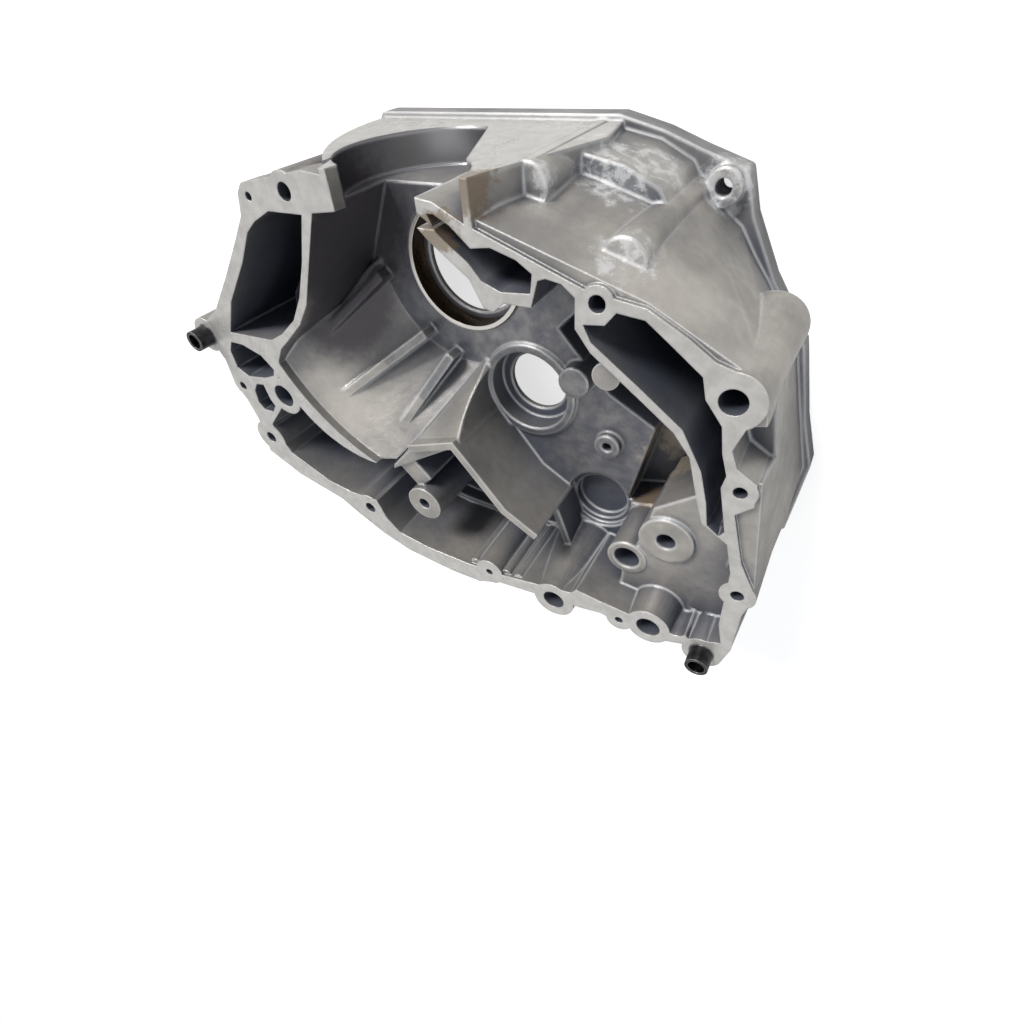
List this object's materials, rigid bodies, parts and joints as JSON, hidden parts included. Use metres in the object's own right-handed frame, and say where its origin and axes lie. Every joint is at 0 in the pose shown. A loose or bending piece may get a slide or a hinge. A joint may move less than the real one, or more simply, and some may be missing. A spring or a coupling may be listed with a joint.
{
  "type": "crankcase half",
  "caption": "Die-cast aluminium crankcase half of a single-cylinder engine, joint face up, with crank bearing sleeve, gearbox bay, oil hollows, cylinder deck and two hollow dowels.",
  "frame": {"origin": "crank axis at the face of the crank web", "axes": "+Z along the crank axis and out of the joint face, +Y square to the cylinder deck and out of it, +X along the deck towards the gearbox side"},
  "size_m": [0.316, 0.215, 0.113],
  "materials": {
    "cast_aluminium": "as cast, machined on the joint faces",
    "bearing_steel": "ground",
    "dowel_steel": "oiled, nearly black"
  },
  "bodies": {
    "root": {"casting": "cast_aluminium", "bearing_sleeve": "bearing_steel", "dowel_left": "dowel_steel", "dowel_right": "dowel_steel"}
  },
  "joints": []
}
